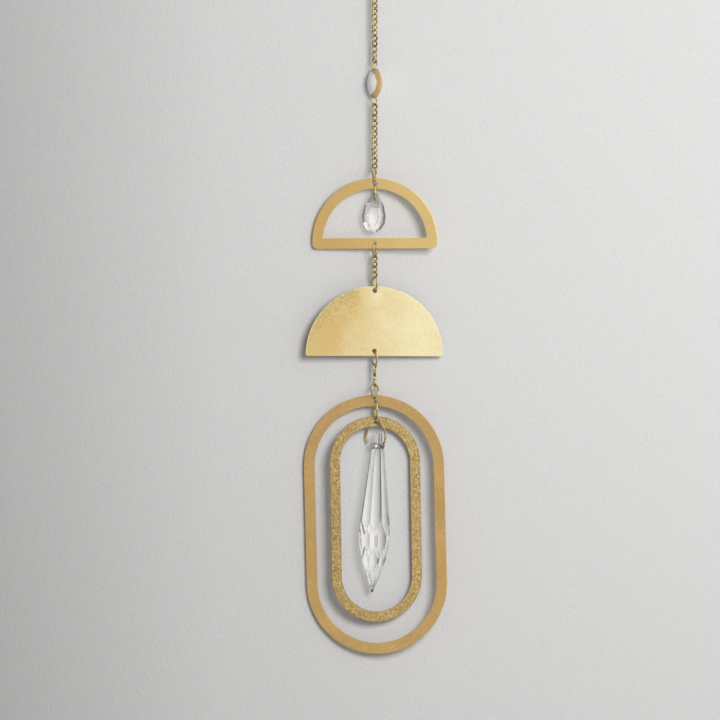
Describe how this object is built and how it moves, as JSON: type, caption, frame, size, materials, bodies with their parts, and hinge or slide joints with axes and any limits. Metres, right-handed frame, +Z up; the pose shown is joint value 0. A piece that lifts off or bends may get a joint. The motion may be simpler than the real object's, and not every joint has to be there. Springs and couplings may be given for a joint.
{
  "type": "hanging suncatcher",
  "caption": "Hanging suncatcher: curb chain with a bead, brass half-rounds and ovals linked by rings, and clear faceted drops that hang inside them.",
  "frame": {"origin": "the point that it hangs from: inside the top of the hanging ring", "axes": "+Z up, +X to the right of a viewer who faces it, +Y away from that viewer"},
  "size_m": [0.0689, 0.0151, 0.3326],
  "materials": {
    "jump_rings": "polished brass wire",
    "chain": "aged brass wire",
    "bead": "white glaze with a gilt border",
    "open_half_round": "satin brass sheet",
    "half_round_plate": "pale satin brass sheet",
    "outer_oval": "matte brass sheet",
    "inner_oval": "hammered brass sheet",
    "crystal": "clear cut crystal"
  },
  "bodies": {
    "root": {"hanging_ring": "jump_rings", "upper_chain": "chain", "bead_upper_ring": "jump_rings", "bead": "bead", "bead_lower_ring": "jump_rings", "middle_chain": "chain", "open_half_round_ring": "jump_rings", "open_half_round": "open_half_round", "teardrop_ring": "jump_rings", "teardrop_crystal": "crystal", "open_half_round_lower_ring": "jump_rings", "upper_short_chain": "chain", "half_round_plate_ring": "jump_rings", "half_round_plate": "half_round_plate", "half_round_plate_lower_ring": "jump_rings", "lower_short_chain": "chain", "outer_oval_ring": "jump_rings", "outer_oval": "outer_oval", "oval_link_ring": "jump_rings", "inner_oval": "inner_oval", "prism_ring": "jump_rings", "icicle_prism": "crystal"}
  },
  "joints": []
}
